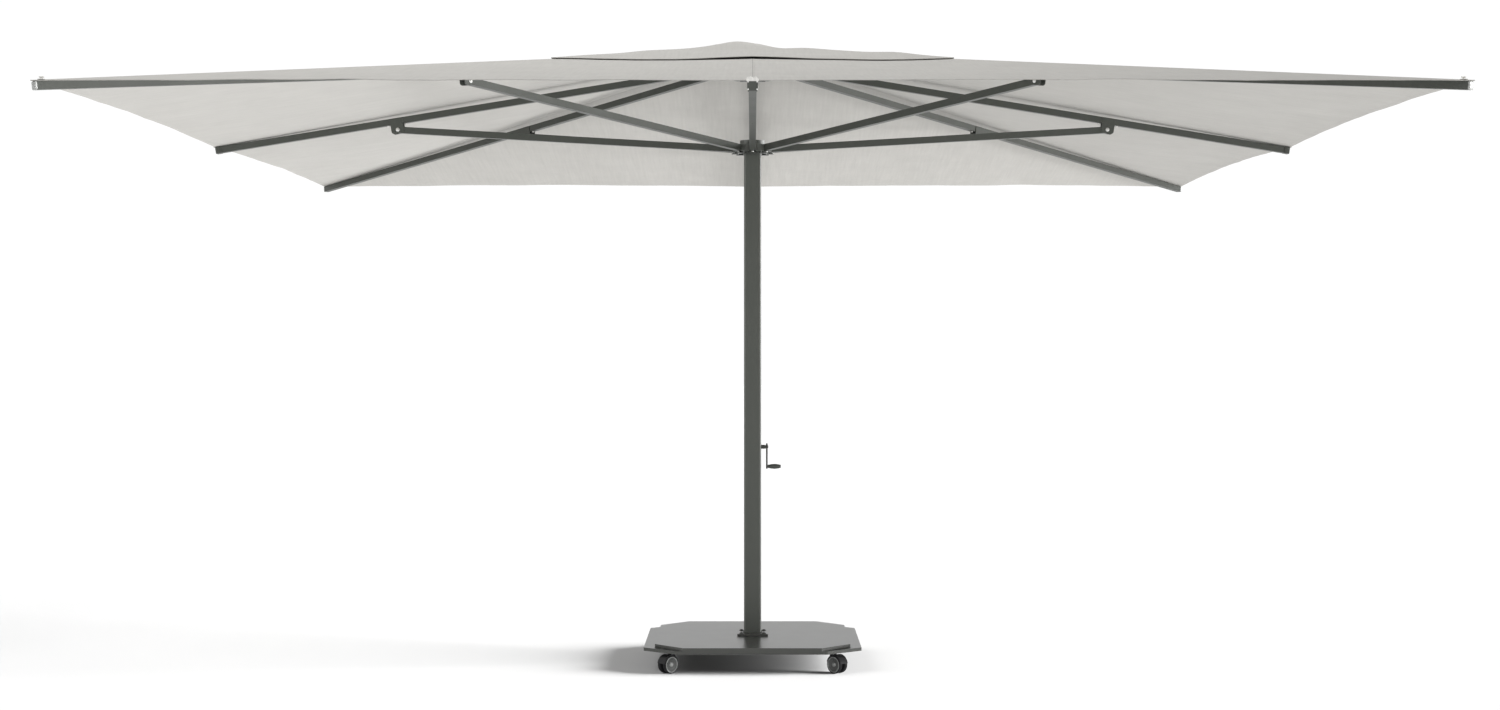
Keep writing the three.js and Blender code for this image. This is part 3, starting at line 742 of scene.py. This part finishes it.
def thumb_screw(tag):
    """A white winged knob on a broad washer that holds the cloth's corner down on the rib."""
    azimuth = AZIMUTH[tag]
    x, y = KNOB_R * math.cos(azimuth), KNOB_R * math.sin(azimuth)
    place = Matrix.Translation((x, y, roof(x, y) + 0.0002)) @ spin(azimuth)
    made = bmesh.new()
    lathe(made, [(0.0142, 0), (0.0142, 0.0010), (0.0132, 0.0020), (0.0080, 0.0034), (0.0040, 0.0040),
                 (0.0034, 0.0064), (0.0080, 0.0072), (0.0092, 0.0082), (0.0092, 0.0098), (0.0080, 0.0108),
                 (0.0018, 0.0112)], place, 32)
    for side in (1, -1):
        wing = place @ Matrix.Translation((0, side * 0.0100, 0.0091)) @ SIDE_ON
        prism(made, rounded(0.0020, 0.0016, 0.0009, 3), -0.0034, 0.0034, wing)
    finish(f"cloth_knob_{tag}", made, WHITE, f"rib_{tag}", bevel=0.0003)


def tip_loop(tag):
    """A short webbing loop, folded back on itself, that pulls the cloth over the end of a side rib."""
    path = [(-0.060, 0.0014), (-0.046, 0.0030), (-0.034, 0.0074), (-0.022, 0.0060), (-0.012, 0.0098),
            (-0.002, 0.0106), (0.0046, 0.0074), (0.0052, 0.0020), (0.0050, -0.0050), (0.0036, -0.0050),
            (0.0034, 0.0016), (0.0026, 0.0056), (-0.004, 0.0082), (-0.012, 0.0070), (-0.020, 0.0034),
            (-0.034, 0.0042), (-0.046, 0.0014), (-0.060, 0.0004)]
    azimuth = AZIMUTH[tag]
    tip = Vector((math.cos(azimuth), math.sin(azimuth), 0)) * (HALF - 0.002)
    ground = roof(tip.x, tip.y) + 0.0008
    outwards = Vector((math.cos(azimuth), math.sin(azimuth), 0))
    sideways = Vector(tangent(azimuth))
    rings, count = [], 22
    for k in range(count + 1):
        share = k / count - 0.5
        ring = []
        for along, up in path:
            fall = -along * ROOF_SLOPE if along < 0 else 0.0
            crumple = 0.0034 * noise.noise(Vector((share * 5.5, along * 60, azimuth * 3 + 1.1)))
            edge = 1 - 0.25 * (2 * abs(share)) ** 6
            lift = max(0.0, up) * (0.75 + 1.1 * crumple / 0.0034) * edge + min(0.0, up)
            width = 0.040 * share * (1 + 0.12 * math.sin(along * 120))
            point = tip + outwards * (along + crumple * 0.5) + sideways * width
            ring.append(Vector((point.x, point.y, ground + fall + max(lift, min(up, 0.0)))))
        rings.append(ring)
    made = bmesh.new()
    add_faces(made, rings)
    finish(f"tip_loop_{tag}", made, WEBBING, f"rib_{tag}", smooth=70)


for tag in TAGS:
    spoke = Spoke(tag)
    bracket(tag, spoke)
    tip_cap(tag, spoke)
    if tag in CORNERS:
        thumb_screw(tag)
    else:
        tip_loop(tag)


# ---------- hub and mast ----------
def ring_wall(made, outer, inner, low, high, place=Matrix.Identity(4)):
    """A closed tube between two outlines with as many points each, along the place's Z."""
    rows = [[made.verts.new(place @ Vector((x, y, z))) for x, y in outline]
            for outline, z in ((outer, low), (outer, high), (inner, high), (inner, low))]
    for first, second in zip(rows, rows[1:] + rows[:1]):
        for i in range(len(first)):
            j = (i + 1) % len(first)
            made.faces.new((first[i], first[j], second[j], second[i]))


def tube_like(name, node, material, body, wall, corner=None):
    """A fine copy of a CAD tube from its box: square with round corners, or round."""
    low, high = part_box(node)
    half = (high.x - low.x) / 2
    if corner:
        outer, inner = rounded(half, half, corner, 10), rounded(half - wall, half - wall, corner - wall, 10)
    else:
        angles = [2 * math.pi * k / 56 for k in range(56)]
        outer = [(half * math.cos(a), half * math.sin(a)) for a in angles]
        inner = [((half - wall) * math.cos(a), (half - wall) * math.sin(a)) for a in angles]
    made = bmesh.new()
    ring_wall(made, outer, inner, low.z, high.z)
    return finish(name, made, material, body, bevel=0.0004, node=node)


mast_shell = tube_like("mast_shell", "mast_tube", FRAME_COAT, "root", 0.003, 0.012)
tube_like("lower_stage", "inner_mast_lower", DRAWN, "inner_mast", 0.0025)
tube_like("upper_stage", "inner_mast_upper", FRAME_COAT, "crown", 0.002)

LUG_TOP = 2.3618  # just under the hub
PIVOT_R = 0.082
lugs, lug_pins = bmesh.new(), bmesh.new()
for tag in TAGS:
    place = spin(AZIMUTH[tag]) @ Matrix.Translation((PIVOT_R, 0, LUG_TOP))
    prism(lugs, rounded(0.0155, 0.0125, 0.004, 5), -0.0086, -0.0046, place)
    prism(lugs, rounded(0.006, 0.009, 0.002, 3), -0.0050, 0.0002, place @ Matrix.Translation((-0.007, 0, 0)))
    lathe(lug_pins, [(0.0052, -0.0046), (0.0052, -0.0008), (0.0042, 0.0)],
          place @ Matrix.Translation((0.0088, 0, 0)), 20)
finish("hub_lugs", lugs, FRAME_COAT, "root", bevel=0.0006)
finish("hub_lug_pins", lug_pins, BRIGHT, "root")

FOOT_TOP = 0.1315
WELD_BEADS = 88


def foot_weld():
    """The weld round the mast's foot, with a ripple for each bead."""
    weld = bmesh.new()
    path = rounded(0.0408, 0.0408, 0.0125, 10)
    rings = []
    lengths = [0.0]
    for (x0, y0), (x1, y1) in zip(path, path[1:] + path[:1]):
        lengths.append(lengths[-1] + math.hypot(x1 - x0, y1 - y0))
    for k in range(WELD_BEADS * 3):
        at = lengths[-1] * k / (WELD_BEADS * 3)
        index = max(i for i in range(len(path)) if lengths[i] <= at)
        (x0, y0), (x1, y1) = path[index], path[(index + 1) % len(path)]
        part = (at - lengths[index]) / max(1e-9, lengths[index + 1] - lengths[index])
        x, y = x0 + (x1 - x0) * part, y0 + (y1 - y0) * part
        out = Vector((x, y)).normalized()
        swell = 0.0032 * (1 + 0.16 * math.cos(2 * math.pi * k / 3))
        rings.append([Vector((x, y, FOOT_TOP)) + Vector((out.x * c, out.y * c, s)) * swell
                      for c, s in ((-0.2, 0.0), (1.0, 0.0), (0.75, 0.55), (0.35, 0.85), (-0.2, 1.0))])
    add_faces(weld, rings + rings[:1], caps=(False, False))
    bmesh.ops.remove_doubles(weld, verts=weld.verts, dist=1e-6)
    finish("foot_weld", weld, FRAME_COAT, "root", smooth=70)


foot_weld()

# low button-head bolts with washers in the foot's corners
bolt_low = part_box("foot_bolt_1")[0].z
bolts = bmesh.new()
for sx in (1, -1):
    for sy in (1, -1):
        place = Matrix.Translation((sx * 0.052, sy * 0.052, 0)) @ spin(0.35 * sx + 0.6 * sy)
        lathe(bolts, [(0.0055, bolt_low), (0.0055, FOOT_TOP + 0.0006)], place, 24)
        lathe(bolts, [(0.0118, FOOT_TOP + 0.0001), (0.0118, FOOT_TOP + 0.0010), (0.0112, FOOT_TOP + 0.0014)],
              place, 40)
        lathe(bolts, [(0.0084, FOOT_TOP + 0.0012), (0.0086, FOOT_TOP + 0.0020), (0.0076, FOOT_TOP + 0.0042),
                      (0.0056, FOOT_TOP + 0.0054), (0.0034, FOOT_TOP + 0.0057), (0.0030, FOOT_TOP + 0.0030),
                      (0.0004, FOOT_TOP + 0.0028)], place, 36)
finish("foot_bolts", bolts, WINCH, "root", smooth=40,
       node=[f"foot_bolt_{index}" for index in range(1, 5)])

# ---------- winch handle ----------
CRANK_Z = 0.993
GRIP_Z = 0.902
TO_X = Matrix.Rotation(math.pi / 2, 4, "Y")  # puts a lathe's axis along X


def on_x(z):
    return Matrix.Translation((0, 0, z)) @ TO_X


boss = bmesh.new()
lathe(boss, [(0.0056, 0.0402), (0.0098, 0.0402), (0.0098, 0.0446), (0.0088, 0.0452), (0.0088, 0.0502),
             (0.0096, 0.0508), (0.0096, 0.0560), (0.0084, 0.0568), (0.0084, 0.0612), (0.0078, 0.0618),
             (0.0056, 0.0618)], on_x(CRANK_Z), 40, loop=True)
finish("crank_bearing", boss, FRAME_COAT, "root", smooth=25, node="crank_boss")


def handle_arm():
    """A flat bar, wider at the axle."""
    top, bottom, count = 0.0120, 0.0092, 14
    outline = [(top * math.cos(a), CRANK_Z + 0.004 + top * math.sin(a))
               for a in (math.pi * k / count for k in range(count + 1))]
    outline += [(bottom * math.cos(a), GRIP_Z - 0.002 + bottom * math.sin(a))
                for a in (math.pi + math.pi * k / count for k in range(count + 1))]
    made = bmesh.new()
    add_faces(made, [[Vector((x, y, z)) for y, z in outline] for x in (0.0623, 0.0700)])
    return made


finish("crank_bar", handle_arm(), WINCH, "crank", bevel=0.0012, segments=3, node="crank_arm")
button = bmesh.new()
lathe(button, [(0.0078, 0.0700), (0.0078, 0.0708), (0.0072, 0.0711)], on_x(CRANK_Z), 32)
dome(button, on_x(CRANK_Z) @ Matrix.Translation((0, 0, 0.0710)), 0.0062, 0.0022, 28)
lathe(button, [(0.0040, 0.0690), (0.0040, 0.1262)], on_x(GRIP_Z), 20)
finish("crank_nut_and_pin", button, WINCH, "crank")

grip = bmesh.new()
profile = [(0.0044, 0.0706), (0.0074, 0.0706), (0.0081, 0.0712), (0.0081, 0.0748), (0.0072, 0.0756)]
for k in range(17):
    t = k / 16
    profile.append((0.0079 + 0.0035 * math.sin(math.pi * t) ** 0.8, 0.0764 + t * 0.0496))
profile += [(0.0074, 0.1266), (0.0082, 0.1272), (0.0082, 0.1298), (0.0074, 0.1308), (0.0018, 0.1311),
            (0.0018, 0.1290), (0.0044, 0.1272)]
lathe(grip, profile, on_x(GRIP_Z), 48, loop=True)
finish("crank_handle", grip, GRIP, "grip", smooth=30, node="crank_grip")

# ---------- castors ----------
AXLE_R = 0.5346
SWIVEL_R = 0.5066
AXLE_Z = 0.040
PLATE_LOW = 0.0890  # underside of a castor's mounting plate
ALONG_Y = Matrix.Rotation(-math.pi / 2, 4, "X")  # puts a lathe's axis along Y


def wheels(tag):
    """Twin wheels: tyres with a grooved tread, and dished covers with a pale rim and hub cap outside. The
    pale plastic of the rim and cap is partly their own colour and partly a painted highlight.
    """
    place = spin(AZIMUTH[tag]) @ Matrix.Translation((AXLE_R, 0, AXLE_Z)) @ ALONG_Y
    tyres, discs, rims, axle = (bmesh.new() for _ in range(4))
    for side in (1, -1):
        face = place if side > 0 else place @ FLIP
        lathe(tyres, [(0.0060, 0.0080), (0.0362, 0.0080), (0.0388, 0.0088), (0.0400, 0.0108),
                      (0.0400, 0.0158), (0.0391, 0.0164), (0.0391, 0.0176), (0.0400, 0.0182),
                      (0.0400, 0.0226), (0.0390, 0.0246), (0.0368, 0.0256), (0.0352, 0.0256),
                      (0.0352, 0.0200), (0.0060, 0.0200)], face, 64, loop=True)
        # the pale ring round the cover, partly a painted highlight
        lathe(rims, [(0.0306, 0.0236), (0.0349, 0.0236), (0.0349, 0.0254), (0.0341, 0.0260),
                     (0.0318, 0.0260), (0.0306, 0.0250)], face, 64, loop=True)
        lathe(discs, [(0.0312, 0.0202), (0.0312, 0.0242), (0.0300, 0.0240), (0.0270, 0.0226),
                      (0.0200, 0.0212), (0.0135, 0.0206), (0.0106, 0.0208), (0.0010, 0.0210)], face, 64)
        # the hub cap in the same pale plastic, partly a painted highlight
        lathe(rims, [(0.0100, 0.0206), (0.0098, 0.0232), (0.0086, 0.0248), (0.0060, 0.0256),
                     (0.0010, 0.0260)], face, 40)
    lathe(axle, [(0.0049, -0.0205), (0.0049, 0.0205)], place, 24)
    body = f"wheels_{tag}"
    finish(f"castor_tyres_{tag}", tyres, TYRE, body, smooth=30, node=f"castor_wheels_{tag}")
    finish(f"castor_discs_{tag}", discs, DISC, body, smooth=30)
    finish(f"castor_rims_{tag}", rims, RIM_AND_HIGHLIGHT, body, smooth=30)
    finish(f"castor_axle_{tag}", axle, BRIGHT, body)


def housing(tag):
    """The swivelling head, its web between the wheels, and the thin hood over them."""
    place = spin(AZIMUTH[tag]) @ Matrix.Translation((SWIVEL_R, 0, 0))
    trail = AXLE_R - SWIVEL_R
    made = bmesh.new()
    lathe(made, [(0.0120, 0.0818), (0.0140, 0.0820), (0.0244, 0.0862), (0.0250, 0.0872), (0.0250, 0.0904),
                 (0.0242, 0.0912)], place, 48)
    web = [(-0.012, 0.084), (-0.0112, 0.072), (-0.009, 0.060), (trail - 0.014, AXLE_Z - 0.004)]
    web += [(x, z) for x, z in arc(trail, AXLE_Z, 0.0125, 200, 340, 10)]
    web += [(trail + 0.016, AXLE_Z + 0.010), (trail + 0.0225, 0.072), (0.024, 0.0815), (0.020, 0.084)]
    prism(made, web, -0.0058, 0.0058, place @ SIDE_ON)
    hood = arc(trail, AXLE_Z, 0.0434, 8, 166, 34) + arc(trail, AXLE_Z, 0.0411, 166, 8, 34)
    prism(made, hood, -0.0236, 0.0236, place @ SIDE_ON)
    finish(f"castor_hood_{tag}", made, BLACK, f"castor_{tag}", bevel=0.0006,
           node=f"castor_housing_{tag}")


def mounting(tag):
    """The castor's steel plate under the base, with four screw heads."""
    place = spin(AZIMUTH[tag]) @ Matrix.Translation((SWIVEL_R, 0, 0))
    plate, heads = bmesh.new(), bmesh.new()
    outer = rounded(0.036, 0.036, 0.008, 8)
    inner = [(0.0262 * math.cos(a), 0.0262 * math.sin(a))
             for a in (math.atan2(y, x) for x, y in outer)]
    ring_wall(plate, outer, inner, PLATE_LOW, 0.0914, place)
    finish(f"castor_plate_{tag}", plate, BRIGHT, "root", bevel=0.0004)
    for k in range(4):
        angle = math.pi / 4 + k * math.pi / 2
        x, y = 0.0384 * math.cos(angle), 0.0384 * math.sin(angle)
        dome(heads, place @ Matrix.Translation((x, y, PLATE_LOW)) @ FLIP, 0.004, 0.0022, 16)
    finish(f"castor_screws_{tag}", heads, BRIGHT, "root")


for tag in CORNERS:
    wheels(tag)
    housing(tag)
    mounting(tag)

# ---------- stage ----------
floor_mesh = bpy.data.meshes.new("floor")
FLOOR_HALF = 60
floor_mesh.from_pydata(
    [(x * FLOOR_HALF, y * FLOOR_HALF, 0) for x, y in ((-1, -1), (1, -1), (1, 1), (-1, 1))], [],
    [(0, 1, 2, 3)])
floor = bpy.data.objects.new("floor", floor_mesh)
scene.collection.objects.link(floor)
floor_paint = Shader("studio_floor", (0.2, 0.2, 0.2), 0.9)
floor_mesh.materials.append(floor_paint.material)


def studio_world(seen, given):
    """A plain white surround: `seen` behind the object and in its gloss, and `given` as soft light on it."""
    world = bpy.data.worlds.new("studio")
    world.use_nodes = True
    tree = world.node_tree
    backdrop = tree.nodes["Background"]
    backdrop.inputs["Color"].default_value = (1, 1, 1, 1)
    backdrop.inputs["Strength"].default_value = given
    bright = tree.nodes.new("ShaderNodeBackground")
    bright.inputs["Color"].default_value = (1, 1, 1, 1)
    bright.inputs["Strength"].default_value = seen
    choose = tree.nodes.new("ShaderNodeMixShader")
    ray = tree.nodes.new("ShaderNodeLightPath")
    either = tree.nodes.new("ShaderNodeMath")
    either.operation = "MAXIMUM"
    tree.links.new(ray.outputs["Is Camera Ray"], either.inputs[0])
    tree.links.new(ray.outputs["Is Glossy Ray"], either.inputs[1])
    tree.links.new(either.outputs[0], choose.inputs["Fac"])
    tree.links.new(backdrop.outputs["Background"], choose.inputs[1])
    tree.links.new(bright.outputs["Background"], choose.inputs[2])
    tree.links.new(choose.outputs["Shader"], tree.nodes["World Output"].inputs["Surface"])
    scene.world = world
    scene.view_settings.view_transform = "Standard"


def linked(name, state, pieces):
    """A collection for a lamp: the pieces it alone lights (INCLUDE), or that it passes by (EXCLUDE)."""
    made = bpy.data.collections.new(name)
    for piece in pieces:
        made.objects.link(piece)
    for held in made.collection_objects:
        held.light_linking.link_state = state
    return made


def lamp(name, kind, place, target, strength, spread, state, pieces, unshadowed=()):
    """A soft lamp: `spread` is a disc's width in metres, or a sun's in degrees."""
    data = bpy.data.lights.new(name, kind)
    data.energy = strength
    if kind == "SUN":
        data.angle = math.radians(spread)
    else:
        data.shape = "DISK"
        data.size = spread
    made = bpy.data.objects.new(name, data)
    made.location = place
    made.rotation_euler = (Vector(target) - Vector(place)).to_track_quat("-Z", "Y").to_euler()
    made.visible_camera = False
    scene.collection.objects.link(made)
    made.light_linking.receiver_collection = linked(f"lit by {name}", state, pieces)
    if unshadowed:
        made.light_linking.blocker_collection = linked(f"no shadow from {name}", "EXCLUDE", unshadowed)
    return made


# Each lamp lights or passes by the pieces it names. The floor is a middling grey under a strong lamp of its
# own, so that it is seen as near white and sends little light back up.
EDGE_LIT = [bpy.data.objects[f"{kind}_{tag}"] for kind in ("rib_tip_cap", "castor_rims") for tag in CORNERS]
GLINTING = [mast_shell, frame["nodes"]["strut_hub"]]
BASE_LIT = [frame["nodes"][node] for node in ("base_plate_lower", "base_plate_upper", "mast_foot")]
studio_world(1.02, 0.36)
lamp("floor key", "SUN", (10, -1.2, 3.5), (0, 0, 0), 30.0, 30, "INCLUDE", [floor], CLOTHS)
lamp("floor fill", "SUN", (-8, -1, 8), (0, 0, 0), 3.9, 50, "INCLUDE", [floor], CLOTHS)
lamp("cloth key", "AREA", (14, -2.5, 0.6), (0, 0, 2.0), 2720, 4.0, "INCLUDE", CLOTHS)
lamp("frame key", "SUN", (10, -1.6, 0.6), (0, 0, 0), 0.75, 20, "EXCLUDE", [floor] + BASE_LIT + CLOTHS, CLOTHS)
fill = lamp("frame fill", "SUN", (4.6, -10, 1.5), (0, 0, 0), 0.84, 20, "EXCLUDE", [floor] + CLOTHS, CLOTHS)
fill.visible_glossy = False
lamp("edge key", "SUN", (10, -0.3, 0.5), (0, 0, 0), 7.5, 50, "INCLUDE", EDGE_LIT, CLOTHS)
glint = lamp("edge glint", "SUN", (9.3, 3.6, 0.5), (0, 0, 0), 6.0, 50, "INCLUDE", GLINTING, CLOTHS)
glint.visible_diffuse = False
lamp("mast left", "SUN", (-10, -4, 0.4), (0, 0, 0), 1.0, 30, "INCLUDE", GLINTING, CLOTHS)
for side, x, strength in (("right", 10, 1.6), ("left", -10, 1.0)):
    beam = lamp(f"base {side}", "SUN", (x, -1, 0.4), (0, 0, 0), strength, 30, "INCLUDE", BASE_LIT)
    beam.visible_glossy = False
lamp("overhead", "AREA", (-2.0, -1.0, 9.0), (0, 0, 2.5), 350, 6.0, "EXCLUDE", [floor])
